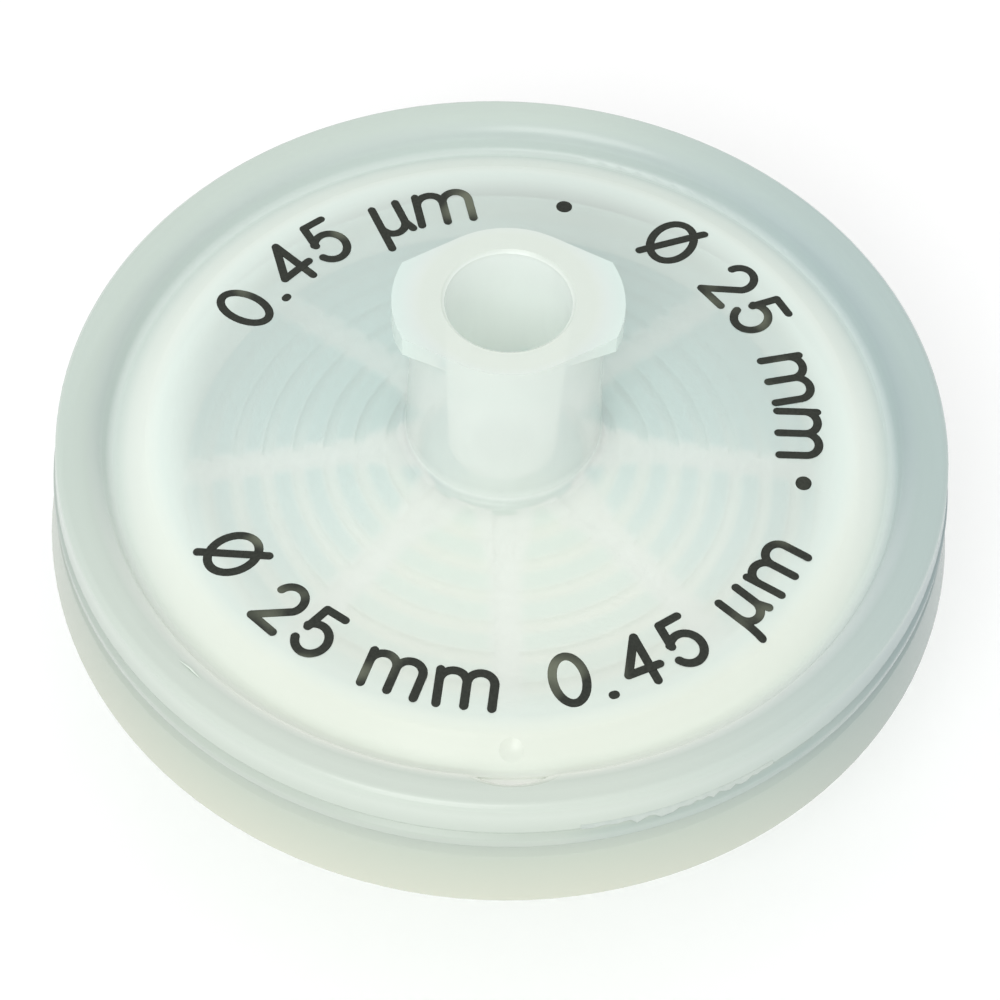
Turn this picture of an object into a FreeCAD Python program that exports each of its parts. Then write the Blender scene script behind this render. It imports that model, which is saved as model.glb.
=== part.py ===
import FreeCAD, Part
import Sketcher
import os
import re

# A disposable syringe filter with a 25 mm membrane, in millimetres.
#
# Two polypropylene mouldings are welded face to face round a disc of membrane. The inlet housing
# carries a female Luer-lock socket and, on its hidden side, the ribs and rings that spread the
# liquid. The outlet housing carries the drain and a male Luer tip. All three pieces share one
# vertical axis.
#
# The drawing height 0 is the top face of the disc, and depths are counted down from it. The whole
# assembly is then lowered by the height of the socket, so that the origin is the centre of the
# socket's mouth and +Z points out of it, towards the syringe.

SIZES = [
    # socket, hub and lugs
    ("hub_height", 6.8, "socket mouth above the top face of the disc"),
    ("hub_top_radius", 3.2, "outside of the hub at the mouth"),
    ("hub_base_radius", 3.45, "outside of the hub where it meets the disc"),
    ("hub_root_round", 0.35, "round between hub and disc"),
    ("mouth_radius", 2.15, "6 per cent female taper at the mouth"),
    ("mouth_bevel", 0.12, "lead-in round the mouth"),
    ("taper_per_length", 0.03, "fall of the radius along a 6 per cent taper"),
    ("socket_depth", 7.5, "length of the female taper"),
    ("inlet_bore_radius", 1.1, "passage from the socket to the chamber"),
    ("lug_radius", 3.91, "outside of the two locking lugs"),
    ("lug_half_width", 1.65, "half the width of a lug's crest"),
    ("lug_depth", 1.25, "depth of a lug at its thickest point"),
    ("lug_thick_at", -0.35, "where along its width a lug is thickest"),
    ("lug_lead_rise", 0.2, "rise of a lug's underside per length, a 5 mm lead"),
    ("lug_entry_rise", 0.42, "rise per length of the bevel that enters the collar"),
    ("lug_reach", 3.4, "half the width of a lug's blank, past its flanks"),
    # top face, shoulder and rim of the inlet housing
    ("face_radius", 12.15, "edge of the flat top face"),
    ("face_edge_round", 2.0, "soft edge of the top face"),
    ("shoulder_foot_radius", 13.7, "foot of the sloping shoulder round the face"),
    ("rim_foot_radius", 13.95, "foot of the rim's inner wall"),
    ("foot_depth", 0.85, "foot of both, below the top face"),
    ("foot_round", 0.3, "rounds in that foot"),
    ("rim_inner_radius", 14.35, "top of the rim's inner wall, before it is rounded"),
    ("rim_rise", 0.25, "crown of the rim above the top face"),
    ("rim_edge_radius", 15.5, "outer end of the crown's top, before it is rounded"),
    ("rim_edge_drop", 0.18, "drop of the bevel at the crown's outer edge"),
    ("rim_radius", 15.68, "outside of the rim below that bevel"),
    ("rim_inner_round", 1.0, "full inner edge of the crown"),
    ("rim_outer_round", 0.22, "both ends of the bevel at the crown's outer edge"),
    ("skirt_radius", 15.8, "outside of the rim at the crease"),
    ("skirt_depth", 1.1, "lower edge of the rim's wall"),
    ("crease_radius", 15.7, "bottom of the crease between rim and bead"),
    ("crease_depth", 1.3, "crease below the top face"),
    ("bead_radius", 15.9, "outside of the bead under the rim"),
    ("bead_top_depth", 1.5, "top of the bead"),
    ("bead_bottom_depth", 1.85, "bottom of the bead, the upper lip of the parting groove"),
    # gate of the inlet housing
    ("gate_radius", 13.05, "distance of the gate from the axis"),
    ("gate_mark_radius", 0.42, "shallow round mark left by the gate"),
    ("gate_ball_radius", 1.0, "ball that the mark's hollow is part of"),
    ("gate_relief_radius", 2.6, "radius of the relief beside the gate, at the rim's foot"),
    ("gate_relief_reach", 14.15, "furthest point of the relief from the axis, at the rim's foot"),
    ("gate_relief_slope", 34, "lean of the relief's wall, in degrees"),
    # weld, spigot and chamber
    ("weld_depth", 2.2, "plane where the two housings are welded"),
    ("weld_radius", 15.7, "outer edge of the weld, the bottom of the parting groove"),
    ("spigot_radius", 12.8, "spigot of the inlet housing"),
    ("spigot_play", 0.05, "gap round the spigot"),
    ("seat_depth", 3.1, "face that presses on the membrane"),
    ("seat_inner_radius", 11.3, "inner edge of that face"),
    ("nozzle_radius", 3.0, "nozzle under the socket, where the roof begins"),
    ("nozzle_depth", 1.5, "end of the nozzle"),
    ("roof_inner_depth", 1.0, "roof of the inlet chamber at the nozzle"),
    ("roof_outer_depth", 2.75, "roof of the inlet chamber at the seat"),
    ("roof_bite", 0.1, "reach of rings and ribs into the roof they hang from"),
    ("ring_height", 0.25, "spreader rings below the roof"),
    ("ring_width", 0.42, "width of a ring"),
    ("ring_first_radius", 4.0, "middle of the innermost spreader ring"),
    ("ring_pitch", 1.1, "distance from ring to ring"),
    ("rib_width", 0.85, "width of a radial rib"),
    ("rib_height", 0.33, "ribs below the roof"),
    ("rib_inner_radius", 2.9, "inner end of the ribs, inside the nozzle"),
    ("rib_outer_radius", 11.35, "outer end of the ribs, inside the seat"),
    ("rib_count", 8, "ribs, and drain channels under them"),
    # membrane
    ("membrane_radius", 12.5, "25 mm membrane"),
    ("membrane_thickness", 0.15, "membrane"),
    # outlet housing
    ("lower_lip_depth", 2.5, "lower lip of the parting groove"),
    ("lower_lip_radius", 15.93, "outside of the wall at that lip"),
    ("base_radius", 16.31, "outside of the wall at its foot"),
    ("base_depth", 4.9, "foot of the wall, the lowest flat of the disc"),
    ("base_edge_round", 0.17, "outer edge of the foot"),
    ("foot_inner_radius", 14.9, "inner edge of the foot"),
    ("underside_radius", 14.4, "edge of the recessed underside"),
    ("underside_depth", 4.55, "recessed underside"),
    ("drain_radius", 11.0, "edge of the drain chamber"),
    ("drain_depth", 3.7, "floor of the drain chamber"),
    ("support_first_radius", 2.2, "middle of the innermost support ring"),
    ("channel_width", 0.8, "radial drain channels through the support rings"),
    ("channel_outer_radius", 10.9, "outer end of the channels"),
    ("boss_radius", 3.3, "boss round the outlet at the underside"),
    ("boss_tip_radius", 3.05, "the same at its shoulder"),
    ("boss_depth", 5.7, "shoulder of the boss"),
    ("boss_root_round", 0.6, "round between underside and boss"),
    ("tip_length", 8.0, "length of the male 6 per cent taper"),
    ("tip_end_radius", 1.98, "male taper at its end"),
    ("tip_bevel", 0.15, "lead-in at the end of the tip"),
    ("outlet_bore_top_radius", 0.95, "outlet passage at the drain"),
    ("outlet_bore_end_radius", 1.1, "outlet passage at the tip"),
    # small rounds
    ("fine_round", 0.12, "small rounds on moulded edges"),
    ("soft_round", 0.35, "rounds on the underside"),
]

# how many concentric rings each side of the membrane has
SPREADER_RINGS = 7
SUPPORT_RINGS = 8

NEAR = 1e-4

document = FreeCAD.newDocument("SyringeFilter")
sheet = document.addObject("Spreadsheet::Sheet", "Sizes")
for row, (alias, value, meaning) in enumerate(SIZES, start=1):
    sheet.set(f"A{row}", alias)
    sheet.set(f"B{row}", str(value))
    sheet.set(f"C{row}", meaning)
    sheet.setAlias(f"B{row}", alias)
document.recompute()


def sized(expression):
    """The expression with every alias of the sheet written in full."""
    words = {alias for alias, _, _ in SIZES}
    return re.sub(r"[a-z_]+", lambda word: f"Sizes.{word[0]}" if word[0] in words else word[0],
                  expression)


def number(expression):
    """The value, in millimetres or degrees, that an expression has now."""
    found = sheet.evalExpression(sized(expression))
    return float(getattr(found, "Value", found))


def origin_part(body, role):
    """An axis or a plane of the body's own origin."""
    return next(part for part in body.Origin.OriginFeatures if part.Role == role)


def new_body(name):
    """A body that hangs under the socket's mouth, which is the origin."""
    body = document.addObject("PartDesign::Body", name)
    body.Label = name
    body.setExpression("Placement.Base.z", sized("- hub_height"))
    return body


def new_sketch(body, name, role, height="0"):
    """A sketch on a plane of the body's origin, moved along the plane's normal by height."""
    sketch = body.newObject("Sketcher::SketchObject", name)
    sketch.AttachmentSupport = (origin_part(body, role), [""])
    sketch.MapMode = "FlatFace"
    sketch.setExpression("AttachmentOffset.Base.z", sized(height))
    return sketch


def bound(sketch, expression, *constraint):
    """A constraint whose value follows an expression."""
    index = sketch.addConstraint(Sketcher.Constraint(*constraint, number(expression)))
    sketch.setExpression(f"Constraints[{index}]", sized(expression))


def hold(sketch, line, end, across, up):
    """Keeps one end of a line at a distance from the sketch's axes."""
    bound(sketch, across, "DistanceX", -1, 1, line, end)
    bound(sketch, up, "DistanceY", -1, 1, line, end)


def spot(corner):
    """A corner's place in its sketch."""
    return FreeCAD.Vector(number(corner[0]), number(corner[1]), 0)


def outline(sketch, corners):
    """A closed outline of straight lines through corners given as pairs of expressions."""
    lines = []
    for start, end in zip(corners, corners[1:] + corners[:1]):
        lines.append(sketch.addGeometry(Part.LineSegment(spot(start), spot(end))))
    for line, following in zip(lines, lines[1:] + lines[:1]):
        sketch.addConstraint(Sketcher.Constraint("Coincident", line, 2, following, 1))
    for line, corner in zip(lines, corners):
        hold(sketch, line, 1, *corner)
    return lines


def ring_outlines(sketch, first, pitch, width, count):
    """Pairs of circles about the axis, one pair for each of several evenly spaced rings."""
    middle = FreeCAD.Vector(0, 0, 0)
    upward = FreeCAD.Vector(0, 0, 1)
    for index in range(count):
        for side in ("-", "+"):
            radius = f"{first} + {index} * {pitch} {side} {width} / 2"
            circle = sketch.addGeometry(Part.Circle(middle, upward, number(radius)))
            sketch.addConstraint(Sketcher.Constraint("Coincident", circle, 3, -1, 1))
            bound(sketch, radius, "Radius", circle)


def turned(body, kind, sketch, name):
    """A revolution or a groove of a sketch about the vertical axis."""
    feature = body.newObject(kind, name)
    feature.Profile = sketch
    feature.ReferenceAxis = (sketch, ["V_Axis"])
    feature.Angle = 360
    document.recompute()
    return feature


def raised(body, kind, sketch, name, length, backwards=False):
    """A pad or a pocket of a sketch."""
    feature = body.newObject(kind, name)
    feature.Profile = sketch
    feature.setExpression("Length", sized(length))
    feature.Reversed = backwards
    document.recompute()
    return feature


def repeated(body, features, name, count):
    """Features repeated evenly about the vertical axis."""
    feature = body.newObject("PartDesign::PolarPattern", name)
    feature.Originals = features
    feature.Axis = (origin_part(body, "Z_Axis"), [""])
    feature.Angle = 360
    feature.setExpression("Occurrences", sized(count))
    body.Tip = feature
    document.recompute()
    return feature


def rounded(body, name, size, circles):
    """Rounds the full circular edges found at the given radii and heights."""
    base = body.Tip
    wanted = [(number(radius), number(height)) for radius, height in circles]
    chosen = []
    for index, edge in enumerate(base.Shape.Edges, start=1):
        if not isinstance(edge.Curve, Part.Circle):
            continue
        place = (edge.Curve.Radius, edge.Curve.Center.z)
        if any(abs(place[0] - r) < NEAR and abs(place[1] - z) < NEAR for r, z in wanted):
            chosen.append(f"Edge{index}")
    if len(chosen) < len(wanted):
        raise RuntimeError(f"{name}: found {len(chosen)} of {len(wanted)} edges")
    feature = body.newObject("PartDesign::Fillet", name)
    feature.Base = (base, chosen)
    feature.setExpression("Radius", sized(size))
    document.recompute()
    return feature


def grew(feature, before, sign):
    """Makes sure that a feature added (+1) or removed (-1) material."""
    change = feature.Shape.Volume - before
    if change * sign <= NEAR:
        raise RuntimeError(f"{feature.Name} changed the volume by {change:.4f}")


def hollowed(feature, across, along, height):
    """Makes sure that a feature has emptied a point, where it is too small to weigh."""
    point = FreeCAD.Vector(number(across), number(along), number(height))
    if feature.Shape.isInside(point, NEAR, True):
        raise RuntimeError(f"{feature.Name} left material at {point}")


def lugs(body):
    """The two locking lugs, made before the hub that grows through them.

    Seen along the axis a lug is a short crest whose flanks run tangent to the hub. Its top is flush
    with the mouth, and its underside follows a right-hand thread, with a bevel where the syringe's
    collar enters.
    """
    plan = new_sketch(body, "LugPlan", "XY_Plane", "hub_height")
    crest = "sqrt(lug_radius ^ 2 - lug_half_width ^ 2)"
    touch = "asin(lug_half_width / lug_radius) + acos(hub_top_radius / lug_radius)"
    flank_across = f"hub_top_radius * cos({touch})"
    flank_along = f"hub_top_radius * sin({touch})"
    lines = outline(plan, [
        ("0", f"- {flank_along}"),
        (flank_across, f"- {flank_along}"),
        (crest, "- lug_half_width"),
        (crest, "lug_half_width"),
        (flank_across, flank_along),
        ("0", flank_along),
    ])
    chord = lines[2]
    plan.setConstruction(chord, True)
    ends = [FreeCAD.Vector(number(crest), number("lug_half_width") * side, 0) for side in (-1, 1)]
    tip = FreeCAD.Vector(number("lug_radius"), 0, 0)
    arc = plan.addGeometry(Part.Arc(ends[0], tip, ends[1]))
    plan.addConstraint(Sketcher.Constraint("Coincident", arc, 1, chord, 1))
    plan.addConstraint(Sketcher.Constraint("Coincident", arc, 2, chord, 2))
    bound(plan, "lug_radius", "Radius", arc)
    blank = raised(body, "PartDesign::Pad", plan, "LugBlank", "lug_depth", backwards=True)

    side = new_sketch(body, "LugUnderside", "YZ_Plane")
    thickest = "hub_height - lug_depth"
    bevel = "lug_entry_rise * (lug_thick_at + lug_reach)"
    climb = "lug_lead_rise * (lug_reach - lug_thick_at)"
    below = "hub_height - 2 * lug_depth"
    outline(side, [
        ("- lug_reach", below),
        ("lug_reach", below),
        ("lug_reach", f"{thickest} + {climb}"),
        ("lug_thick_at", thickest),
        ("- lug_reach", f"{thickest} + {bevel}"),
    ])
    before = blank.Shape.Volume
    trim = raised(body, "PartDesign::Pocket", side, "LugTrim", "2 * lug_radius", backwards=True)
    grew(trim, before, -1)
    repeated(body, [blank, trim], "LugPair", "2")


def inlet_form(body):
    """The solid form of the inlet housing: hub, face, shoulder, rim, bead and spigot."""
    profile = new_sketch(body, "InletProfile", "XZ_Plane")
    outline(profile, [
        ("0", "hub_height"),
        ("hub_top_radius", "hub_height"),
        ("hub_base_radius", "0"),
        ("face_radius", "0"),
        ("shoulder_foot_radius", "- foot_depth"),
        ("rim_foot_radius", "- foot_depth"),
        ("rim_inner_radius", "rim_rise"),
        ("rim_edge_radius", "rim_rise"),
        ("rim_radius", "rim_rise - rim_edge_drop"),
        ("skirt_radius", "- skirt_depth"),
        ("crease_radius", "- crease_depth"),
        ("bead_radius", "- bead_top_depth"),
        ("bead_radius", "- bead_bottom_depth"),
        ("weld_radius", "- weld_depth"),
        ("spigot_radius", "- weld_depth"),
        ("spigot_radius", "- seat_depth"),
        ("seat_inner_radius", "- seat_depth"),
        ("seat_inner_radius", "- roof_outer_depth"),
        ("nozzle_radius", "- roof_inner_depth"),
        ("nozzle_radius", "- nozzle_depth"),
        ("0", "- nozzle_depth"),
    ])
    turned(body, "PartDesign::Revolution", profile, "InletForm")
    rounded(body, "FaceEdge", "face_edge_round", [("face_radius", "0")])
    rounded(body, "HubRoot", "hub_root_round", [("hub_base_radius", "0")])
    rounded(body, "RimFoot", "foot_round", [
        ("shoulder_foot_radius", "- foot_depth"),
        ("rim_foot_radius", "- foot_depth"),
    ])
    rounded(body, "RimInnerEdge", "rim_inner_round", [("rim_inner_radius", "rim_rise")])
    rounded(body, "RimOuterEdge", "rim_outer_round", [
        ("rim_edge_radius", "rim_rise"),
        ("rim_radius", "rim_rise - rim_edge_drop"),
    ])
    rounded(body, "BeadEdges", "fine_round", [
        ("skirt_radius", "- skirt_depth"),
        ("bead_radius", "- bead_top_depth"),
        ("bead_radius", "- bead_bottom_depth"),
    ])


def socket(body):
    """The female taper, its lead-in, and the passage down into the inlet chamber."""
    profile = new_sketch(body, "SocketProfile", "XZ_Plane")
    foot = "hub_height - socket_depth"
    foot_radius = "mouth_radius - taper_per_length * socket_depth"
    outline(profile, [
        ("0", "hub_height"),
        ("mouth_radius + mouth_bevel", "hub_height"),
        ("mouth_radius", "hub_height - mouth_bevel"),
        (foot_radius, foot),
        ("inlet_bore_radius", foot),
        ("inlet_bore_radius", "- nozzle_depth"),
        ("0", "- nozzle_depth"),
    ])
    before = body.Tip.Shape.Volume
    grew(turned(body, "PartDesign::Groove", profile, "Socket"), before, -1)


def roof_height(radius, below="0"):
    """The height of the sloping roof of the chamber at a radius, or of a point below it."""
    fall = "(roof_outer_depth - roof_inner_depth) / (seat_inner_radius - nozzle_radius)"
    return f"- roof_inner_depth - ({radius} - nozzle_radius) * {fall} - {below}"


def spreader(body):
    """The concentric rings on the sloping roof of the chamber, and the radial ribs that cross them.

    Both follow the roof down. The ribs are the taller, and at the seat they reach the membrane.
    """
    rings = new_sketch(body, "SpreaderRings", "XZ_Plane")
    for index in range(SPREADER_RINGS):
        middle = f"ring_first_radius + {index} * ring_pitch"
        inner = f"{middle} - ring_width / 2"
        outer = f"{middle} + ring_width / 2"
        outline(rings, [
            (inner, roof_height(inner, "ring_height")),
            (outer, roof_height(outer, "ring_height")),
            (outer, roof_height(outer, "(- roof_bite)")),
            (inner, roof_height(inner, "(- roof_bite)")),
        ])
    before = body.Tip.Shape.Volume
    grew(turned(body, "PartDesign::Revolution", rings, "Rings"), before, 1)

    rib = new_sketch(body, "RibSide", "XZ_Plane")
    outline(rib, [
        ("rib_inner_radius", roof_height("rib_inner_radius", "rib_height")),
        ("rib_outer_radius", roof_height("rib_outer_radius", "rib_height")),
        ("rib_outer_radius", roof_height("rib_outer_radius", "(- roof_bite)")),
        ("rib_inner_radius", roof_height("rib_inner_radius", "(- roof_bite)")),
    ])
    before = body.Tip.Shape.Volume
    first = raised(body, "PartDesign::Pad", rib, "Rib", "rib_width")
    first.SideType = "Symmetric"
    document.recompute()
    grew(first, before, 1)
    repeated(body, [first], "Ribs", "rib_count")


def gate(body):
    """The mark of the moulding gate on the shoulder, and the relief beside it in the rim.

    The relief is a lens between the rim's foot and a smaller arc, and its wall leans outwards.
    The mark is a cap of a ball that is sunk square to the sloping shoulder.
    """
    middle = "(gate_relief_reach - gate_relief_radius)"
    along = f"(rim_foot_radius ^ 2 - gate_relief_radius ^ 2 + {middle} ^ 2) / (2 * {middle})"
    aside = f"sqrt(rim_foot_radius ^ 2 - ({along}) ^ 2)"
    relief = new_sketch(body, "GateRelief", "XY_Plane", "- foot_depth")
    left = FreeCAD.Vector(-number(aside), -number(along), 0)
    right = FreeCAD.Vector(number(aside), -number(along), 0)
    arcs = []
    for reach, radius, centre in (
        ("gate_relief_reach", "gate_relief_radius", middle),
        ("rim_foot_radius", "rim_foot_radius", "0"),
    ):
        lowest = FreeCAD.Vector(0, -number(reach), 0)
        arc = relief.addGeometry(Part.Arc(left, lowest, right))
        bound(relief, radius, "Radius", arc)
        bound(relief, f"- {centre}", "DistanceY", -1, 1, arc, 3)
        relief.addConstraint(Sketcher.Constraint("PointOnObject", arc, 3, -2))
        arcs.append(arc)
    for end in (1, 2):
        relief.addConstraint(Sketcher.Constraint("Coincident", arcs[0], end, arcs[1], end))
    before = body.Tip.Shape.Volume
    cut = raised(body, "PartDesign::Pocket", relief, "Relief", "rim_rise + foot_depth",
                 backwards=True)
    cut.setExpression("TaperAngle", sized("gate_relief_slope"))
    document.recompute()
    grew(cut, before, -1)

    slope = "atan(foot_depth / (shoulder_foot_radius - face_radius))"
    level = "(gate_radius - face_radius) * foot_depth / (shoulder_foot_radius - face_radius)"
    lift = "sqrt(gate_ball_radius ^ 2 - gate_mark_radius ^ 2)"
    ball = body.newObject("PartDesign::SubtractiveSphere", "GateMark")
    ball.setExpression("Radius", sized("gate_ball_radius"))
    ball.setExpression("Placement.Base.y", sized(f"- gate_radius - {lift} * sin({slope})"))
    ball.setExpression("Placement.Base.z", sized(f"{lift} * cos({slope}) - {level}"))
    document.recompute()
    hollowed(ball, "0", "- gate_radius", f"- {level} - fine_round / 10")


def inlet_housing():
    """The upper moulding."""
    body = new_body("inlet_housing")
    lugs(body)
    inlet_form(body)
    socket(body)
    spreader(body)
    gate(body)
    return body


def outlet_form(body):
    """The lower moulding turned in one go: seat, wall, recessed underside, boss, tip and bore."""
    profile = new_sketch(body, "OutletProfile", "XZ_Plane")
    seat = "- seat_depth - membrane_thickness"
    end = "- boss_depth - tip_length"
    outline(profile, [
        ("outlet_bore_top_radius", "- drain_depth"),
        ("drain_radius", "- drain_depth"),
        ("drain_radius", seat),
        ("spigot_radius + spigot_play", seat),
        ("spigot_radius + spigot_play", "- weld_depth"),
        ("weld_radius", "- weld_depth"),
        ("lower_lip_radius", "- lower_lip_depth"),
        ("base_radius", "- base_depth"),
        ("foot_inner_radius", "- base_depth"),
        ("underside_radius", "- underside_depth"),
        ("boss_radius", "- underside_depth"),
        ("boss_tip_radius", "- boss_depth"),
        ("tip_end_radius + taper_per_length * tip_length", "- boss_depth"),
        ("tip_end_radius + taper_per_length * tip_bevel", f"{end} + tip_bevel"),
        ("tip_end_radius - tip_bevel", end),
        ("outlet_bore_end_radius", end),
    ])
    turned(body, "PartDesign::Revolution", profile, "OutletForm")
    rounded(body, "BaseEdge", "base_edge_round", [("base_radius", "- base_depth")])
    rounded(body, "BossRoot", "boss_root_round", [("boss_radius", "- underside_depth")])
    rounded(body, "UndersideEdges", "soft_round", [("underside_radius", "- underside_depth")])
    rounded(body, "FineEdges", "fine_round", [
        ("lower_lip_radius", "- lower_lip_depth"),
        ("foot_inner_radius", "- base_depth"),
        ("boss_tip_radius", "- boss_depth"),
    ])


def drain(body):
    """The rings that carry the membrane, and the channels that cross them to the outlet."""
    rings = new_sketch(body, "SupportRings", "XY_Plane", "- drain_depth")
    ring_outlines(rings, "support_first_radius", "ring_pitch", "ring_width", SUPPORT_RINGS)
    height = "drain_depth - seat_depth - membrane_thickness"
    before = body.Tip.Shape.Volume
    grew(raised(body, "PartDesign::Pad", rings, "Supports", height), before, 1)

    channel = new_sketch(body, "ChannelPlan", "XY_Plane", "- drain_depth")
    outline(channel, [
        ("0", "- channel_width / 2"),
        ("channel_outer_radius", "- channel_width / 2"),
        ("channel_outer_radius", "channel_width / 2"),
        ("0", "channel_width / 2"),
    ])
    before = body.Tip.Shape.Volume
    first = raised(body, "PartDesign::Pocket", channel, "Channel", height, backwards=True)
    grew(first, before, -1)
    repeated(body, [first], "Channels", "rib_count")


def outlet_housing():
    """The lower moulding."""
    body = new_body("outlet_housing")
    outlet_form(body)
    drain(body)
    return body


def membrane():
    """The disc of membrane, clamped at its edge between the two seats."""
    disc = document.addObject("Part::Cylinder", "membrane")
    disc.Label = "membrane"
    disc.setExpression("Radius", sized("membrane_radius"))
    disc.setExpression("Height", sized("membrane_thickness"))
    disc.setExpression(
        "Placement.Base.z", sized("- hub_height - seat_depth - membrane_thickness"))
    return disc


pieces = [inlet_housing(), membrane(), outlet_housing()]
document.recompute()

for thing in document.Objects:
    if {"Invalid", "Error"} & set(thing.State):
        raise RuntimeError(f"{thing.Name} is {thing.State}")
for piece in pieces:
    if piece.Shape.isNull() or not piece.Shape.isValid() or len(piece.Shape.Solids) != 1:
        raise RuntimeError(f"{piece.Label} is not one valid solid")

os.makedirs("parts", exist_ok=True)
for piece in pieces:
    piece.Shape.exportStep(f"parts/{piece.Label}.step")
    box = piece.Shape.BoundBox
    print(f"{piece.Label}: {piece.Shape.Volume:.1f} mm3,"
          f" {box.XLength:.2f} x {box.YLength:.2f} x {box.ZLength:.2f} mm,"
          f" z {box.ZMin:.2f} to {box.ZMax:.2f}")
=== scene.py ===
# %% [markdown]
# # A syringe filter in milky polypropylene
#
# The filter is two pale mouldings welded round a disc of membrane. The frame from CAD already has
# the true form of all three pieces, with the ribs and rings inside. What is left for Blender is the
# part that CAD can't say: a plastic that lets light in and scatters it, a soft white sheet that
# shines through from below, black ink on the face, and the small marks that moulding and welding
# leave behind.
#
# Lengths are written in millimetres, in the frame's own axes, and divided by a thousand where a mesh
# is made, because Blender counts in metres. +Z runs along the flow axis, towards the syringe.

# %% Load the frame
import math

import bpy
import numpy as np
from mathutils import Matrix, Vector


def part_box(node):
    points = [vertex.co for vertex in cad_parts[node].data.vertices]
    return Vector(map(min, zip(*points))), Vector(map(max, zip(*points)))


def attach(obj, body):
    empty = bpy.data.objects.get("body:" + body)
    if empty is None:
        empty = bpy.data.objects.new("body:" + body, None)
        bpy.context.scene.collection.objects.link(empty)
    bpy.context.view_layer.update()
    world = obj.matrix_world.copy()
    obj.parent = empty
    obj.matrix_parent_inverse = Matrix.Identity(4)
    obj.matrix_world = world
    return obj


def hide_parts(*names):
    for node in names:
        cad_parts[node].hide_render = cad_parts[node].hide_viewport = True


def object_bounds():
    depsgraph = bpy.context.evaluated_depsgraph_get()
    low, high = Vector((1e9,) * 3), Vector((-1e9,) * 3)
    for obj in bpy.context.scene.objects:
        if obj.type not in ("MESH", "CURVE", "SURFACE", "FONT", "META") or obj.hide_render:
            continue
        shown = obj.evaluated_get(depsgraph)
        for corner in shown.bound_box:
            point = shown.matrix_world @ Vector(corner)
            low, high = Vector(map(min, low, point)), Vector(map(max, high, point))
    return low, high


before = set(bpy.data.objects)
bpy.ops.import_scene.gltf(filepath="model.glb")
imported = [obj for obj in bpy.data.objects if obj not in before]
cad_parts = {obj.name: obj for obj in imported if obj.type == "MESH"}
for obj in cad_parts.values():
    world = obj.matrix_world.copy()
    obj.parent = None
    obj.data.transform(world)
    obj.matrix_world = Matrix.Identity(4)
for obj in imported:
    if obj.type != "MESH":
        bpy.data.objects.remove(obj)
scene = bpy.context.scene
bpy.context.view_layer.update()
MM = 0.001
print("pieces in the frame:", ", ".join(sorted(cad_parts)))


# %% [markdown]
# ## Where things are
#
# The levels of the face, the rim's crown and the membrane are worked out from the frame, so that a
# change of them in the CAD model moves the finish with it; most radii and places below are given as
# numbers. The top face is the only wide flat level between hub and rim, so the highest point in a
# band of radii there gives its height. The membrane's box gives the level of the sheet.

# %% Heights and radii
def points_of(node):
    """All corners of a CAD node, in millimetres, as one array with a row for each corner."""
    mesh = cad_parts[node].data
    flat = np.empty(len(mesh.vertices) * 3)
    mesh.vertices.foreach_get("co", flat)
    return flat.reshape(-1, 3) / MM


def highest_between(points, inner, outer):
    """The highest level among the points whose distance from the axis is between two radii."""
    away = np.hypot(points[:, 0], points[:, 1])
    return float(points[(away > inner) & (away < outer), 2].max())


inlet_points = points_of("inlet_housing")
FACE = highest_between(inlet_points, 6.0, 12.0)
CROWN = highest_between(inlet_points, 14.0, 16.0)
sheet_low, sheet_high = (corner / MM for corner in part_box("membrane"))
SHEET_TOP = sheet_high.z
SHEET_BOTTOM = sheet_low.z
SHEET_RADIUS = sheet_high.x
RIB_INNER = 2.9
RIB_OUTER = 11.35
RIB_COUNT = 8
RING_FIRST = 4.0
RING_PITCH = 1.1
print(f"top face at {FACE:.2f} mm, crown of the rim {CROWN - FACE:.2f} mm above it")
print(f"membrane {SHEET_TOP - SHEET_BOTTOM:.2f} mm thick, {FACE - SHEET_TOP:.2f} mm under the face")


# %% [markdown]
# ## A closed skin from rings of points
#
# All the new pieces here are long or flat closed skins: a stroke of ink, a fin of flash, a sheet.
# Each can be described as a row of rings, where the first parameter runs along the piece and the
# second runs round it, and a single point closes either end. One function turns such a grid into a
# mesh, so each piece below is only its formula.

# %% The skin
def skin(name, rings, start, end):
    """A closed mesh over a grid of points.

    rings holds points along the piece and round it. Neighbouring rings are joined by quads, the
    first and last ring run together in the points start and end, and if the volume that the skin
    encloses comes out negative, every face is turned over.
    """
    count, around = rings.shape[:2]
    points = np.vstack([rings.reshape(-1, 3), [start], [end]])
    ring, step = np.meshgrid(np.arange(count - 1), np.arange(around), indexing="ij")
    here = ring * around + step
    beside = ring * around + (step + 1) % around
    quads = np.stack([here, beside, beside + around, here + around], axis=-1).reshape(-1, 4)
    step = np.arange(around)
    following = (step + 1) % around
    last = (count - 1) * around
    near = np.stack([np.full(around, count * around), following, step], axis=-1)
    far = np.stack([np.full(around, count * around + 1), last + step, last + following], axis=-1)
    halves = np.vstack([quads[:, :3], quads[:, [0, 2, 3]], near, far])
    corners = points[halves]
    volume = np.einsum("ij,ij->i", corners[:, 0], np.cross(corners[:, 1], corners[:, 2])).sum()
    faces = quads.tolist() + near.tolist() + far.tolist()
    if volume < 0:
        faces = [face[::-1] for face in faces]
    mesh = bpy.data.meshes.new(name)
    mesh.from_pydata((points * MM).tolist(), [], faces)
    mesh.shade_smooth()
    piece = bpy.data.objects.new(name, mesh)
    scene.collection.objects.link(piece)
    return piece


def joined(name, pieces):
    """Several pieces made one object, under a new name."""
    with bpy.context.temp_override(active_object=pieces[0], selected_editable_objects=pieces):
        bpy.ops.object.join()
    pieces[0].name = name
    pieces[0].data.name = name
    return pieces[0]


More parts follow.
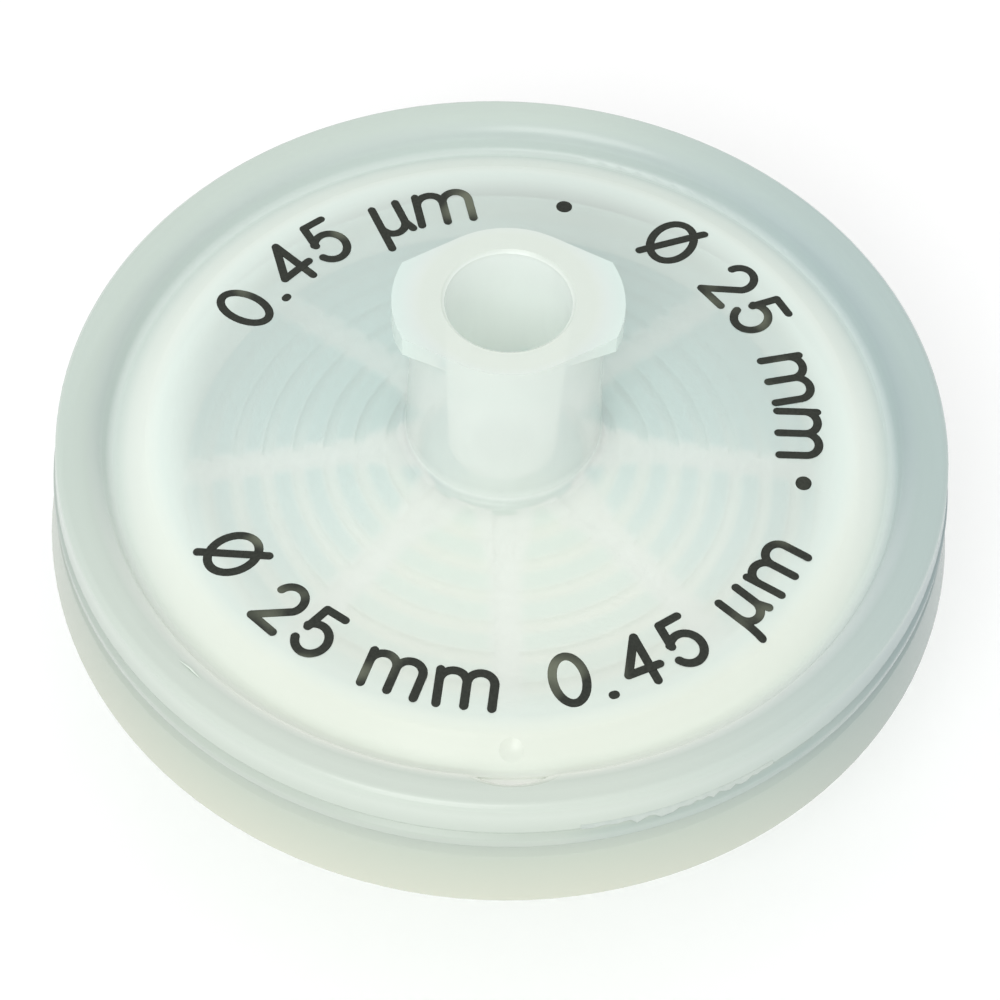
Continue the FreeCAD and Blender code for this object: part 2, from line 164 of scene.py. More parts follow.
# %% [markdown]
# ## Writing shaders as sums
#
# A finish below is mostly arithmetic on the place of a point: how far it is from the axis, how far
# from the nearest rib. Node by node that is hard to read, so a small class stands for the outlet of
# a node and lets it be added and multiplied like a number. Each operator only adds a Math node.

# %% The two helpers
class Wire:
    """The outlet of a node, used in sums like a number."""

    def __init__(self, finish, socket):
        self.finish = finish
        self.socket = socket

    def __add__(self, other):
        return self.finish.math("ADD", self, other)

    def __radd__(self, other):
        return self.finish.math("ADD", other, self)

    def __sub__(self, other):
        return self.finish.math("SUBTRACT", self, other)

    def __rsub__(self, other):
        return self.finish.math("SUBTRACT", other, self)

    def __mul__(self, other):
        return self.finish.math("MULTIPLY", self, other)

    def __rmul__(self, other):
        return self.finish.math("MULTIPLY", other, self)

    def __truediv__(self, other):
        return self.finish.math("DIVIDE", self, other)


class Finish:
    """A material with its Principled shader, and one method that adds any other node."""

    def __init__(self, name):
        self.material = bpy.data.materials.new(name)
        self.material.use_nodes = True
        self.tree = self.material.node_tree
        self.shader = self.tree.nodes["Principled BSDF"]

    def feed(self, socket, value):
        """Links a Wire to a socket, or writes a number or colour on it."""
        if isinstance(value, Wire):
            self.tree.links.new(value.socket, socket)
        elif isinstance(value, tuple) and len(socket.default_value) == 4 and len(value) == 3:
            socket.default_value = (*value, 1.0)
        else:
            socket.default_value = value

    def node(self, kind, settings, inputs, outlet=0):
        """Adds a node of a kind, sets it, feeds its sockets, and gives one of its outlets."""
        made = self.tree.nodes.new(kind)
        for setting, value in settings.items():
            if setting == "stops":
                self.set_stops(made.color_ramp.elements, value)
            else:
                setattr(made, setting, value)
        for socket, value in inputs.items():
            self.feed(made.inputs[socket], value)
        return Wire(self, made.outputs[outlet])

    def set_stops(self, elements, stops):
        """Gives a colour ramp its stops, each a place between 0 and 1 and a colour."""
        while len(elements) < len(stops):
            elements.new(0.5)
        for element, (place, colour) in zip(elements, stops):
            element.position = place
            element.color = (*colour, 1.0)

    def math(self, operation, *values):
        """A Math node."""
        return self.node("ShaderNodeMath", {"operation": operation}, dict(enumerate(values)))

    def rise(self, value, start, end):
        """0 below start, 1 above end, and a smooth S between them. start may be above end."""
        return self.node(
            "ShaderNodeMapRange",
            {"interpolation_type": "SMOOTHSTEP"},
            {"Value": value, "From Min": start, "From Max": end},
        )

    def band(self, value, inner, outer, edge):
        """1 between two values and 0 outside them, with soft edges of a given width."""
        return self.rise(value, inner - edge, inner) * (1 - self.rise(value, outer, outer + edge))

    def mixed(self, share, first, second):
        """A colour that goes from first to second as share goes from 0 to 1."""
        return self.node(
            "ShaderNodeMix",
            {"data_type": "RGBA"},
            {0: share, 6: first, 7: second},
            outlet=2,
        )

    def multiplied(self, share, colour, tint):
        """A colour times a tint where share is 1, and left alone where share is 0."""
        return self.node(
            "ShaderNodeMix",
            {"data_type": "RGBA", "blend_type": "MULTIPLY"},
            {0: share, 6: colour, 7: tint},
            outlet=2,
        )

    def noise(self, place, per_mm, detail=2.0, roughness=0.5):
        """Soft random grey between 0 and 1, with so many lumps to the millimetre."""
        return self.node(
            "ShaderNodeTexNoise",
            {},
            {"Vector": place, "Scale": per_mm / MM, "Detail": detail, "Roughness": roughness},
        )

    def place(self):
        """The point's place on the piece, and its x, y and z in millimetres."""
        spot = self.node("ShaderNodeTexCoord", {}, {}, outlet="Object")
        parts = self.tree.nodes.new("ShaderNodeSeparateXYZ")
        self.tree.links.new(spot.socket, parts.inputs[0])
        x, y, z = (Wire(self, outlet) / MM for outlet in parts.outputs)
        return spot, x, y, z

    def length(self, x, y):
        """The distance from the axis, the square root of x squared plus y squared."""
        return self.math("SQRT", x * x + y * y)

    def surface(self, **values):
        """Sets or links sockets of the Principled shader, with _ for each blank in a name."""
        for name, value in values.items():
            self.feed(self.shader.inputs[name.replace("_", " ").title()], value)


print("helpers ready")


# %% [markdown]
# ## Milky polypropylene
#
# Natural polypropylene is a clear plastic full of tiny crystals, which scatter light. A wall 2 mm
# thick looks like thin milk: mostly its own pale colour, with a little of what lies behind it. Light
# bent as in glass would blur the ribs under the face away, so a share of the light goes straight
# through instead, by the shader's Alpha: much of it through the face over the chamber, and a little
# through everything else. The narrow socket is painted lighter and given a faint glow, painted light
# that stands in for the light seeping in through its wall; the glow is far too weak to light anything
# else.
#
# The colour isn't even. It follows the distance from the axis, because the plastic is thick in the
# shoulder, hollow under the face and thin at the rim. The wall is painted darker than the face, as
# painted shade, darkest at the parting groove and lighter towards the foot with painted light from
# the table. The front, at -Y, where the gate is and the lamp shines, is painted creamier and
# brighter, painted light, and the far side cooler and darker, painted shade. So there are two colours
# for each distance, a lit one and a shaded one.

# %% The plastic's colours
# Distance from the axis in millimetres, the colour at the back in painted shade, and the colour at
# the front, where the gate is, in painted light.
UPPER = [
    (2.9, (0.76, 0.82, 0.75), (0.76, 0.82, 0.75)),
    (3.3, (0.78, 0.84, 0.80), (0.78, 0.84, 0.80)),
    (4.3, (0.84, 0.93, 0.88), (0.94, 1.0, 0.93)),
    (10.5, (0.84, 0.93, 0.88), (0.92, 0.98, 0.91)),
    (12.0, (0.80, 0.90, 0.84), (0.72, 0.80, 0.74)),
    (12.6, (0.86, 0.93, 0.86), (0.77, 0.82, 0.73)),
    (13.2, (0.84, 0.91, 0.85), (0.78, 0.83, 0.74)),
    (13.7, (0.74, 0.83, 0.78), (0.83, 0.89, 0.80)),
    (14.2, (0.56, 0.64, 0.61), (0.98, 1.0, 0.94)),
    (14.7, (0.58, 0.67, 0.61), (0.65, 0.72, 0.65)),
    (15.7, (0.58, 0.67, 0.61), (0.62, 0.69, 0.62)),
]
# The same for the wall, by depth below the face: painted shade, darkest at the parting groove,
# and painted light from the table towards the foot.
WALL = [
    (0.3, (0.58, 0.67, 0.61), (0.64, 0.71, 0.64)),
    (1.2, (0.45, 0.52, 0.48), (0.55, 0.62, 0.55)),
    (2.2, (0.39, 0.45, 0.42), (0.50, 0.56, 0.50)),
    (2.7, (0.41, 0.47, 0.41), (0.53, 0.59, 0.50)),
    (4.9, (0.47, 0.52, 0.45), (0.63, 0.66, 0.55)),
]
# Painted shade on the right of the rim and wall, the side away from the lamp.
RIGHT_SHADE_TINT = (0.79, 0.84, 0.89)
RIGHT_WALL_SHADE_TINT = (0.80, 0.83, 0.87)
# The roof's tones: painted shade at the back and painted light at the front, over bright rings and
# ribs.
ROOF_SHADED = (0.30, 0.60, 0.60)
ROOF_HALF_SHADED = (0.56, 0.80, 0.80)
ROOF_LIT = (0.74, 0.90, 0.80)
RING_TOUCH = (0.95, 1.0, 0.94)
RING_LIT = (1.0, 1.0, 0.90)
RIB_TOUCH = (1.0, 1.0, 0.97)
# Painted light in the socket: a lighter colour and a faint glow for light seeping in through its
# wall.
SOCKET_PAINTED_LIGHT = (0.95, 1.0, 0.965)
SOCKET_GLOW = (0.105, 0.108, 0.10)
# Painted shadow in the bead and groove under the torn fin.
FIN_SHADOW_TINT = (0.90, 0.93, 0.95)
# Painted shadow: a dark spot at the lower edge of the right lug.
LUG_SHADOW_PLACE = (0.00352, -0.00172, -0.0012)
LUG_SHADOW_TINT = (0.62, 0.74, 0.78)
LUG_SHADE = (0.92, 0.97, 0.97)
ROOF_TOP = 0.9
ROOF_FOOT = 3.2
NOZZLE_RADIUS = 3.0
SEAT_RADIUS = 11.3
BODY_CLEAR = 0.1
FACE_CLEAR = 0.32
HUB_CLEAR = 0.12
PLASTIC_IOR = 1.49
print(len(UPPER), "colours by distance,", len(WALL), "by depth")


# %% The parts of the plastic's finish
def from_rib(finish, angle, radius):
    """How far a point is from the middle of the nearest rib, in millimetres."""
    return finish.math("PINGPONG", angle, math.pi / RIB_COUNT) * radius


def ring_wave(finish, radius):
    """A cosine of the ring pitch: 1 in the middle of a spreader ring, -1 halfway to the next."""
    return finish.math("COSINE", (radius - RING_FIRST) * (2 * math.pi / RING_PITCH))


def two_ramps(finish, value, stops, share):
    """The colour between a far ramp of painted shade and a front ramp of painted light."""
    low, high = stops[0][0], stops[-1][0]
    place = (value - low) / (high - low)
    far, lit_ramp = (
        finish.node(
            "ShaderNodeValToRGB",
            {"stops": [((stop[0] - low) / (high - low), stop[column]) for stop in stops]},
            {0: place})
        for column in (1, 2))
    return finish.mixed(share, far, lit_ramp)


def outside_colour(finish, spot, at):
    """The plastic's colour by distance, depth and side, with painted light and shade on it."""
    # Painted light on the front, at -Y, and painted shade on the far side.
    lit_front = finish.rise(at["forward"], -0.1, 0.95)
    rightward = at["rightward"]
    colour = two_ramps(finish, at["radius"], UPPER, lit_front)
    side = finish.rise(at["radius"], 15.1, 15.5) * finish.rise(at["depth"], 0.0, 0.4)
    colour = finish.mixed(side, colour, two_ramps(finish, at["depth"], WALL, lit_front))
    # Painted shade: the rim and wall darker on the right, away from the lamp.
    outer = finish.rise(at["radius"], 13.4, 14.2) * finish.rise(rightward, 0.1, 0.95)
    colour = finish.multiplied(outer, colour, RIGHT_SHADE_TINT)
    colour = finish.multiplied(side * finish.rise(rightward, 0.5, 1.0), colour, RIGHT_WALL_SHADE_TINT)
    # Painted shadow under the torn fin, on the bead between the crease and the groove.
    torn = finish.band(at["angle"], -1.35, -0.95, 0.15) * finish.band(at["depth"], 1.4, 2.1, 0.1)
    colour = finish.multiplied(torn * side, colour, FIN_SHADOW_TINT)
    # A painted shadow under the right lug, darkest at a point and fading within half a millimetre.
    from_lug_shadow = finish.node(
        "ShaderNodeVectorMath", {"operation": "DISTANCE"}, {0: spot, 1: LUG_SHADOW_PLACE},
        outlet="Value") / MM
    colour = finish.multiplied(finish.rise(from_lug_shadow, 0.55, 0.15), colour, LUG_SHADOW_TINT)
    lug = finish.rise(at["radius"], 3.0, 3.9) * finish.rise(at["depth"], -4.4, -5.6)
    return finish.multiplied(lug, colour, LUG_SHADE)


def roof_colour(finish, at, roof, colour):
    """The same colour with the chamber's roof painted, bright along its rings and ribs.

    Between them the roof is painted cooler and darker at the back, as painted shade, and warmer and
    brighter at the front, as painted light. A rib's share falls off with the distance from its
    middle, less a flare near the nozzle, and a ring's with the ring wave. Both fade towards the back.
    The side walls of rings and ribs are given too, as a mask.
    """
    forward = at["forward"]
    chamber = finish.band(at["radius"], NOZZLE_RADIUS, SEAT_RADIUS, 0.2)
    off_rib = from_rib(finish, at["angle"], at["radius"])
    wave = ring_wave(finish, at["radius"])
    flare = finish.rise(at["radius"], 5.5, 3.2) * 0.5
    rib = finish.rise(off_rib - flare, 0.8, 0.3) * (0.65 + 0.35 * finish.rise(forward, -0.9, 0.0))
    ring = finish.rise(wave, -0.6, 0.9) * (0.12 + 0.88 * finish.rise(forward, -0.4, 0.2))
    # Painted light at the front of the roof and painted shade at its back.
    front = finish.rise(forward, 0.4, 0.9)
    tone = finish.mixed(finish.rise(forward, -0.6, 0.4), ROOF_SHADED, ROOF_HALF_SHADED)
    tone = finish.mixed(front, tone, ROOF_LIT)
    bright = finish.mixed(front, RING_TOUCH, RING_LIT)
    tone = finish.mixed(ring * chamber, tone, bright)
    tone = finish.mixed(rib * chamber, tone, RIB_TOUCH)
    ring_edge = finish.band(wave, 0.27, 0.45, 0.06)
    rib_edge = finish.band(off_rib, 0.41, 0.44, 0.02)
    edge = finish.math("MAXIMUM", ring_edge, rib_edge) * chamber * roof
    return finish.mixed(roof, colour, tone), edge


def see_through(finish, at, edge):
    """The share of light that goes straight through: nothing on the walls of rings and ribs."""
    face = finish.rise(at["radius"], 12.4, 10.4) * finish.band(at["depth"], -0.1, 0.3, 0.2)
    hub = finish.rise(at["radius"], 4.4, 4.0) * finish.rise(at["depth"], -0.3, -0.8)
    return (BODY_CLEAR + face * FACE_CLEAR + hub * HUB_CLEAR) * (1 - edge)


# %% [markdown]
# The finish of both housings puts these together. All of them are laid out by where a point is on
# the piece: its distance from the axis, its angle round it, its depth below the face, and how far
# round it lies towards the gate and towards the right.

# %% The plastic on both housings
def polypropylene(name):
    """The shared finish of both housings: colour by radius and height, with painted light and shade.
    """
    finish = Finish(name)
    spot, x, y, z = finish.place()
    radius = finish.length(x, y)
    depth = FACE - z
    at = {
        "radius": radius,
        "angle": finish.math("ARCTAN2", y, x),
        "depth": depth,
        "forward": (0 - y) / radius,
        "rightward": x / radius,
    }
    # The socket, where painted light lightens the bore and a painted glow shines.
    socket = finish.rise(radius, 2.3, 2.15) * finish.band(depth, -6.5, 1.2, 0.4)
    roof = finish.band(depth, ROOF_TOP, ROOF_FOOT, 0.05) * finish.rise(radius, 11.6, 11.4)
    colour = finish.mixed(socket, outside_colour(finish, spot, at), SOCKET_PAINTED_LIGHT)
    colour, edge = roof_colour(finish, at, roof, colour)
    broad = finish.noise(spot, 0.5, detail=1.0)
    fine = finish.noise(spot, 6.0, detail=1.0)
    bump = finish.node(
        "ShaderNodeBump", {}, {"Strength": 0.25, "Distance": 0.00001, "Height": fine + broad * 2})
    finish.surface(
        base_color=colour,
        roughness=0.20 + 0.08 * fine,
        normal=bump,
        alpha=1 - see_through(finish, at, edge),
        # A painted glow in the socket, emission standing in for light through the wall.
        emission_color=finish.mixed(
            socket * finish.rise(depth, -6.7, -2.0), (0.0, 0.0, 0.0), SOCKET_GLOW),
    )
    finish.shader.inputs["Emission Strength"].default_value = 1.0
    finish.material.cycles.emission_sampling = "NONE"
    finish.shader.inputs["IOR"].default_value = PLASTIC_IOR
    return finish.material


plastic = polypropylene("milky_polypropylene")
for node in ("inlet_housing", "outlet_housing"):
    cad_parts[node].data.materials[0] = plastic
print("plastic on both housings")


# %% [markdown]
# ## The membrane
#
# The sheet is soft, and the ribs and rings of the upper housing are pressed into it. Where they touch
# it, it looks bright, and between them it falls back a little and looks cooler. In CAD it is a flat
# disc, so here it is made again as a turned sheet whose upper side dips between the rings.

# %% The sheet
SHEET_STEPS = 240
SHEET_AROUND = 96
SHEET_BITE = 0.02
SHEET_DIP = 0.04
SHEET_OFF_SEAT = 0.005


def membrane_sheet():
    """A disc turned from its profile.

    The first parameter runs from the middle of the upper side over the edge to the middle of the
    lower side, and the second runs round the axis. The upper side is lifted a little, so that rings
    and ribs bite into it, and dips by a cosine wave of the ring pitch between the rings. The lower
    side is kept a hair off its seat.
    """
    radii = np.linspace(0.05, SHEET_RADIUS, SHEET_STEPS)
    wave = 0.5 - 0.5 * np.cos((radii - RING_FIRST) * 2 * np.pi / RING_PITCH)
    inside = (radii > RIB_INNER) & (radii < RIB_OUTER)
    top = SHEET_TOP + SHEET_BITE - SHEET_DIP * wave * inside
    foot = SHEET_BOTTOM + SHEET_OFF_SEAT
    profile_radius = np.concatenate([radii, radii[::-1]])
    profile_height = np.concatenate([top, np.full(SHEET_STEPS, foot)])
    turn = np.linspace(0, 2 * np.pi, SHEET_AROUND, endpoint=False)
    rings = np.stack([
        profile_radius[:, None] * np.cos(turn),
        profile_radius[:, None] * np.sin(turn),
        profile_height[:, None] + 0 * turn,
    ], axis=-1)
    return skin("membrane_sheet", rings, (0, 0, SHEET_TOP), (0, 0, foot))


sheet = membrane_sheet()
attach(sheet, "root")
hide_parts("membrane")
print("sheet:", len(sheet.data.polygons), "faces")


# %% The sheet's finish
def sheet_finish():
    """White paper-like matt, brighter under the ribs and rings than between them."""
    finish = Finish("membrane_white")
    spot, x, y, z = finish.place()
    radius = finish.length(x, y)
    angle = finish.math("ARCTAN2", y, x)
    rib = finish.rise(from_rib(finish, angle, radius), 0.6, 0.3)
    ring = finish.rise(ring_wave(finish, radius), -0.3, 0.8) * 0.7
    touch = finish.math("MAXIMUM", rib, ring) * finish.band(radius, NOZZLE_RADIUS, SEAT_RADIUS, 0.2)
    fibres = finish.noise(spot, 14.0, detail=4.0)
    colour = finish.mixed(touch, (0.80, 0.92, 0.88), (1.0, 1.0, 0.96))
    colour = finish.mixed(fibres * 0.05, colour, (0.7, 0.7, 0.7))
    bump = finish.node(
        "ShaderNodeBump", {}, {"Strength": 0.4, "Distance": 0.00001, "Height": fibres})
    finish.surface(base_color=colour, roughness=0.75 + 0.1 * fibres, normal=bump)
    return finish.material


sheet.data.materials.append(sheet_finish())
print("sheet finished")


# %% [markdown]
# ## Ink on the face
#
# The face is pad-printed: a soft pad sets down a thin film of black ink, so every stroke has the same
# width and round ends. The film could be a mask in the plastic's finish, but then it would have no
# edge of its own and couldn't be a separate material. Here each stroke is a flat closed skin along a
# line, sunk a little into the face, and a figure is a short list of such lines. The print holds only
# plain sizes, the width of the membrane and of its pores.

# %% Lines that figures are made of
def bow(middle_x, middle_y, across, along, start, end):
    """Points on an ellipse between two angles in degrees."""
    turn = np.radians(np.linspace(start, end, 33))
    return np.stack([middle_x + across * np.cos(turn), middle_y + along * np.sin(turn)], axis=-1)


def corners(*places):
    """Points at the given places, joined by straight runs."""
    return np.array(places, dtype=float)


# Each figure has its width and its lines, both measured in heights of a figure.
FIGURES = {
    "0": (0.60, [bow(0.30, 0.50, 0.30, 0.50, 90, 450)]),
    "2": (0.58, [
        np.vstack([bow(0.29, 0.71, 0.27, 0.29, 170, -30), corners((0.02, 0.0))]),
        corners((0.02, 0.0), (0.57, 0.0)),
    ]),
    "4": (0.62, [
        corners((0.44, 0.0), (0.44, 1.0)),
        corners((0.44, 1.0), (0.0, 0.30)),
        corners((0.0, 0.30), (0.62, 0.30)),
    ]),
    "5": (0.58, [
        corners((0.53, 1.0), (0.13, 1.0)),
        corners((0.13, 1.0), (0.06, 0.50)),
        bow(0.28, 0.33, 0.30, 0.33, 142, -155),
    ]),
    "µ": (0.54, [
        corners((0.0, 0.72), (0.0, -0.32)),
        np.vstack([bow(0.24, 0.26, 0.24, 0.26, 180, 360), corners((0.48, 0.72))]),
        corners((0.48, 0.20), (0.56, 0.0)),
    ]),
    "m": (1.00, [
        corners((0.0, 0.72), (0.0, 0.0)),
        np.vstack([bow(0.25, 0.48, 0.25, 0.24, 180, 0), corners((0.50, 0.0))]),
        np.vstack([bow(0.75, 0.48, 0.25, 0.24, 180, 0), corners((1.00, 0.0))]),
    ]),
    "Ø": (0.76, [bow(0.38, 0.50, 0.38, 0.50, 90, 450), corners((0.0, -0.04), (0.76, 1.04))]),
    ".": (0.12, [corners((0.04, 0.0), (0.08, 0.0))]),
    " ": (0.22, []),
}
DOT = "•"
print("figures:", "".join(FIGURES))


# %% A stroke of ink
STROKE_HALF = 0.155
STROKE_STEP = 0.05
INK_RISE = 0.012
INK_SUNK = 0.006
INK_CLIMB = 0.004
SECTION = 10
FLAT_RADIUS = 11.64
FLAT_EDGE_ROUND = 2.0


def face_level(radius):
    """The face's level: flat, then falling along a round like the square of the distance past it."""
    return FACE - np.clip(radius - FLAT_RADIUS, 0, None) ** 2 / (2 * FLAT_EDGE_ROUND)


def stroke(line, half_width=STROKE_HALF, lift=0.0):
    """A flat closed skin along a line on the face.

    The line is lengthened by half the stroke's width at both ends and cut into equal steps, and the
    width there is half a circle's, so the ends are round. Across the line, one side of an ellipse
    stands just above the face and the other is sunk in it. lift keeps crossing strokes apart, and
    a slight climb along the line does that for an oval's two ends.
    """
    start = line[0] - (line[1] - line[0]) / np.linalg.norm(line[1] - line[0]) * half_width
    end = line[-1] + (line[-1] - line[-2]) / np.linalg.norm(line[-1] - line[-2]) * half_width
    line = np.vstack([[start], line[1:-1], [end]])
    run = np.concatenate([[0], np.cumsum(np.linalg.norm(np.diff(line, axis=0), axis=1))])
    steps = max(9, int(run[-1] / STROKE_STEP))
    along = run[-1] * (0.5 - 0.5 * np.cos(np.linspace(0, np.pi, steps + 2)))
    path = np.stack([np.interp(along, run, line[:, 0]), np.interp(along, run, line[:, 1])], axis=-1)
    ahead = np.gradient(path, axis=0)
    ahead /= np.linalg.norm(ahead, axis=1)[:, None]
    aside = np.stack([-ahead[:, 1], ahead[:, 0]], axis=-1)
    from_end = np.minimum(along, run[-1] - along).clip(0, half_width) / half_width
    width = half_width * np.sqrt(1 - (1 - from_end) ** 2)
    turn = np.linspace(0, 2 * np.pi, SECTION, endpoint=False)
    level = np.where(np.sin(turn) > 0, INK_RISE, INK_SUNK) * np.sin(turn)
    flat = path[:, None, :] + width[:, None, None] * np.cos(turn)[None, :, None] * aside[:, None, :]
    climb = lift + INK_CLIMB * along[:, None] / run[-1]
    height = level + climb + face_level(np.hypot(flat[..., 0], flat[..., 1]))
    rings = np.concatenate([flat, height[..., None]], axis=-1)[1:-1]
    ends = ((path[0], lift), (path[-1], lift + INK_CLIMB))
    tips = [(*tip, face_level(np.hypot(*tip)) + raised) for tip, raised in ends]
    return skin("stroke", rings, *tips)


# %% The print round the face
LETTER_GAP = 0.30
INK_LIFT = 0.006


def ring_text(text, clock, baseline, height, outward):
    """Strokes of a text set on a circle, each figure straight and turned as a whole.

    clock is the angle of the first figure's edge, in degrees clockwise from the back. A figure's own
    width and the gap after it, divided by the radius at half its height, give the turn to the next.
    A text that reads from inside runs the other way round, with its figures' heads inwards.
    """
    way = 1 if outward else -1
    middle = baseline + way * height / 2
    pieces = []
    for letter in text:
        width = 0.0 if letter == DOT else FIGURES[letter][0]
        clock += way * math.degrees(width * height / 2 / middle)
        turn = math.radians(clock)
        right = np.array([math.cos(turn), -math.sin(turn)]) * way
        up = np.array([math.sin(turn), math.cos(turn)]) * way
        foot = np.array([math.sin(turn), math.cos(turn)]) * baseline
        if letter == DOT:
            spot = foot + up * height * 0.45
            pieces.append(stroke(np.stack([spot - right * 0.02, spot + right * 0.02]), 0.28))
        else:
            for order, line in enumerate(FIGURES[letter][1]):
                offset = (line - [width / 2, 0]) * height
                path = foot + offset[:, :1] * right + offset[:, 1:] * up
                pieces.append(stroke(path, lift=INK_LIFT * order))
        clock += way * math.degrees((width / 2 + LETTER_GAP) * height / middle)
    print(f"{text}: {len(pieces)} strokes, ends at {clock:.0f} degrees")
    return pieces


ink = joined("face_print", (
    ring_text("0.45 µm   •   Ø 25 mm", -63, 9.72, 1.95, True)
    + ring_text("•", 104, 11.0, 0.6, False)
    + ring_text("Ø 25 mm", 243, 11.75, 1.85, False)
    + ring_text("0.45 µm", 172.5, 11.75, 1.85, False)
))
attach(ink, "root")
print("print:", len(ink.data.polygons), "faces")


# %% The ink's finish
def ink_finish():
    """Black ink whose film is thin in places, where the plastic greys it."""
    finish = Finish("face_ink")
    spot, x, y, z = finish.place()
    patches = finish.rise(finish.noise(spot, 0.45, detail=1.0), 0.56, 0.74)
    grain = finish.noise(spot, 9.0, detail=3.0)
    colour = finish.mixed(patches * 0.9, (0.015, 0.017, 0.014), (0.15, 0.165, 0.12))
    colour = finish.mixed(grain * 0.12, colour, (0.30, 0.33, 0.27))
    bump = finish.node(
        "ShaderNodeBump", {}, {"Strength": 0.3, "Distance": 0.00001, "Height": grain})
    finish.surface(base_color=colour, roughness=0.55 + 0.2 * grain, normal=bump)
    finish.shader.inputs["Specular IOR Level"].default_value = 0.15
    return finish.material


ink.data.materials.append(ink_finish())
print("ink finished")


# %% [markdown]
# ## A torn fin under the rim
#
# Where the halves of the mould meet, along the lower edge of the rim, a thin fin of plastic is left.
# On most of the rim it is too small to see, but on one side of the gate it stands out and is torn,
# and a sliver of it is stuck across the valley on the other side. Moving the points of the rim would
# change the CAD piece, so the fin is a piece of its own that starts inside the rim's wall.

# %% The fin and the sliver
FIN_FROM = -82.0
FIN_TO = -57.0
FIN_TEETH = 34
FIN_STEPS = 320
FIN_TOP_DEPTH = 0.9
RIM_EDGE_DEPTH = 1.1
RIM_EDGE_RADIUS = 15.79
FIN_HALF_THICK = 0.05
FIN_LEAN = 0.12
STRAND_PALE = (0.72, 0.79, 0.72)


def torn_fin():
    """A thin fin along an arc, with a ragged lower edge.

    The first parameter runs along the arc and the second round the fin's section, an ellipse. How
    far the fin hangs below the edge is a row of seeded random lengths joined by straight lines,
    times the root of a sine that makes it die away at both ends. It leans out as it hangs.
    """
    random = np.random.default_rng(5)
    along = np.linspace(0, 1, FIN_STEPS)
    teeth = random.uniform(0.02, 0.32, FIN_TEETH) ** 2 * 3
    hang = np.interp(along, np.linspace(0, 1, FIN_TEETH), teeth) * np.sqrt(np.sin(np.pi * along))
    turn = np.radians(FIN_FROM + (FIN_TO - FIN_FROM) * along)[:, None]
    section = np.linspace(0, 2 * np.pi, 12, endpoint=False)
    middle = (FIN_TOP_DEPTH + RIM_EDGE_DEPTH + hang)[:, None] / 2
    half = (RIM_EDGE_DEPTH + hang - FIN_TOP_DEPTH)[:, None] / 2
    depth = middle + half * np.sin(section)
    radius = RIM_EDGE_RADIUS + FIN_LEAN * (depth - RIM_EDGE_DEPTH)
    radius = radius + FIN_HALF_THICK * np.cos(section)
    rings = np.stack([radius * np.cos(turn), radius * np.sin(turn), FACE - depth], axis=-1)
    return skin("fin", rings, rings[0].mean(axis=0), rings[-1].mean(axis=0))


def sliver(path, half_width):
    """A thin strand along a path, round and pointed at both ends.

    Its width is the half width times a sine of the way along, and its rings stand upright.
    """
    path = np.array(path, dtype=float)
    share = np.linspace(0, 1, len(path))
    along = np.linspace(0, 1, 40)
    line = np.stack([np.interp(along, share, path[:, axis]) for axis in range(3)], axis=-1)
    ahead = np.gradient(line, axis=0)[:, :2]
    ahead /= np.linalg.norm(ahead, axis=1)[:, None]
    section = np.linspace(0, 2 * np.pi, 8, endpoint=False)
    width = (half_width * np.sin(np.pi * along))[:, None]
    rings = np.stack([
        line[:, :1] - ahead[:, 1:] * width * np.cos(section),
        line[:, 1:2] + ahead[:, :1] * width * np.cos(section),
        line[:, 2:] + width * np.sin(section),
    ], axis=-1)[1:-1]
    return skin("sliver", rings, line[0], line[-1])


flash = joined("rim_flash", [
    torn_fin(),
    sliver([(-9.95, -9.95, -7.45), (-10.2, -10.3, -6.95), (-10.5, -10.7, -6.54)], 0.04),
    sliver([(-10.95, -9.95, -6.56), (-10.55, -10.3, -6.54), (-10.15, -10.75, -6.56)], 0.03),
])
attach(flash, "root")
print("flash:", len(flash.data.polygons), "faces")


# %% The flash's finish
def flash_finish():
    """Thin torn plastic: pale, rougher than the moulding, and a little whitened by the tearing."""
    finish = Finish("torn_polypropylene")
    spot, x, y, z = finish.place()
    tear = finish.noise(spot, 3.0, detail=2.0)
    strand = finish.rise(finish.length(x, y), 15.4, 15.2)
    colour = finish.mixed(tear, (0.42, 0.48, 0.45), (0.54, 0.60, 0.55))
    colour = finish.mixed(strand, colour, STRAND_PALE)
    bump = finish.node(
        "ShaderNodeBump", {}, {"Strength": 0.4, "Distance": 0.00002, "Height": tear})
    finish.surface(base_color=colour, roughness=0.35 + 0.2 * tear, normal=bump)
    finish.shader.inputs["IOR"].default_value = PLASTIC_IOR
    return finish.material


flash.data.materials.append(flash_finish())
print("flash finished")


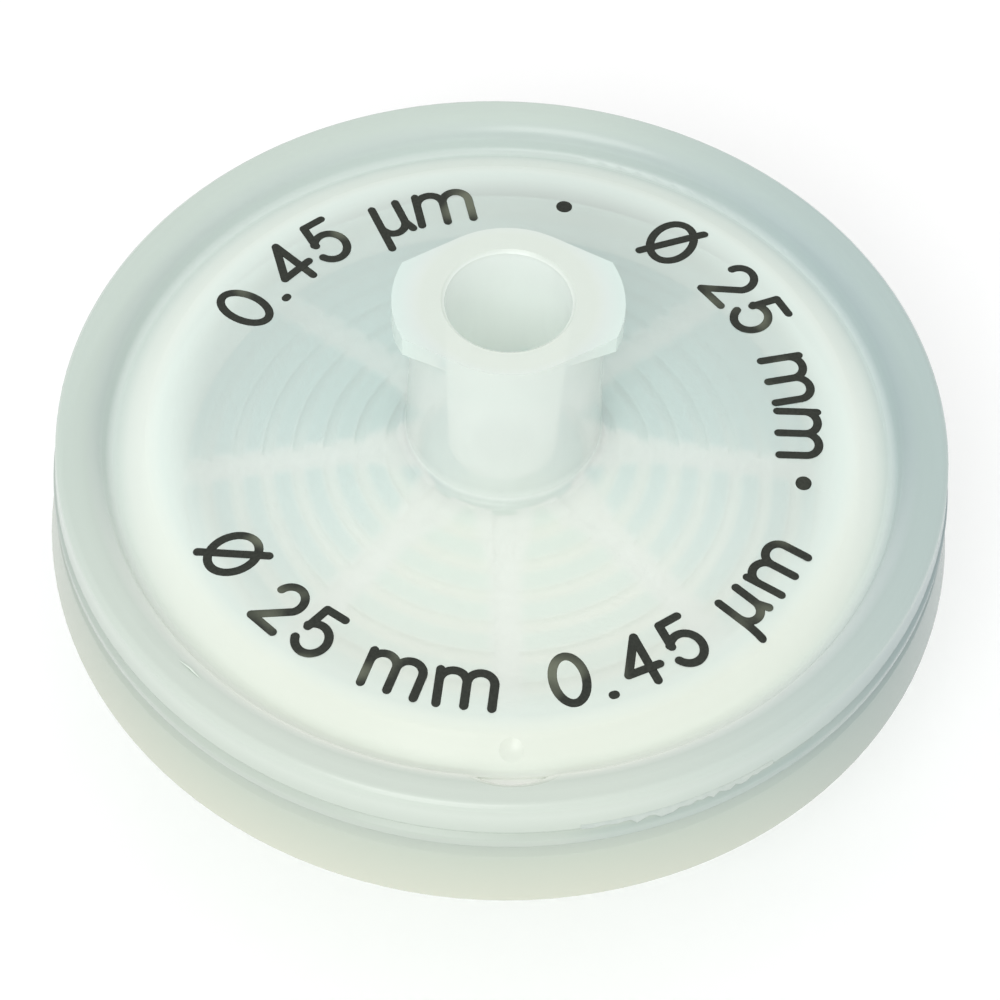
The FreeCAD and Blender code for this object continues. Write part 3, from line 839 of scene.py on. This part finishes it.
# %% [markdown]
# ## The stage
#
# A white table under soft light from all round, with one large lamp high on the left.

# %% Table, light and camera
low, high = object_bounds()
reach = 0.6
table_mesh = bpy.data.meshes.new("table")
table_mesh.from_pydata(
    [(-reach, -reach, low.z), (reach, -reach, low.z), (reach, reach, low.z), (-reach, reach, low.z)],
    [], [(0, 1, 2, 3)])
table = bpy.data.objects.new("table", table_mesh)
scene.collection.objects.link(table)
table_finish = Finish("white_table")
table_finish.surface(base_color=(1.0, 1.0, 1.0), roughness=0.6)
table_mesh.materials.append(table_finish.material)

world = bpy.data.worlds.new("soft_room")
world.use_nodes = True
world.node_tree.nodes["Background"].inputs["Color"].default_value = (1, 1, 1, 1)
world.node_tree.nodes["Background"].inputs["Strength"].default_value = 0.92
scene.world = world


def lamp(name, place, size, power):
    """A round soft lamp, its place and size in millimetres, pointed at the filter."""
    data = bpy.data.lights.new(name, "AREA")
    data.shape = "DISK"
    data.size = size * MM
    data.energy = power
    made = bpy.data.objects.new(name, data)
    made.location = Vector(place) * MM
    made.rotation_euler = (-made.location).to_track_quat("-Z", "Y").to_euler()
    scene.collection.objects.link(made)


lamp("key", (-110, -340, 320), 300, 0.75)

ELEVATION = 53.82
AZIMUTH = -3.2
DISTANCE = 103.6
TILT = 2.46
VIEW_WIDTH = 20.0
up = math.radians(ELEVATION)
side = math.radians(AZIMUTH)
away = Vector((math.sin(side) * math.cos(up), -math.cos(side) * math.cos(up), math.sin(up)))
aim = Vector((0, 0, FACE - 4.5)) * MM
camera_data = bpy.data.cameras.new("camera")
camera_data.angle = math.radians(VIEW_WIDTH)
camera_data.clip_start = 0.005
camera = bpy.data.objects.new("camera", camera_data)
facing = (-away).to_track_quat("-Z", "Y").to_matrix().to_4x4()
camera.matrix_world = (
    Matrix.Translation(aim + away * DISTANCE * MM) @ facing
    @ Matrix.Rotation(math.radians(TILT), 4, "Z"))
scene.collection.objects.link(camera)
scene.camera = camera
scene.view_settings.view_transform = "Standard"
print(f"camera {DISTANCE} mm away, {ELEVATION} degrees up")
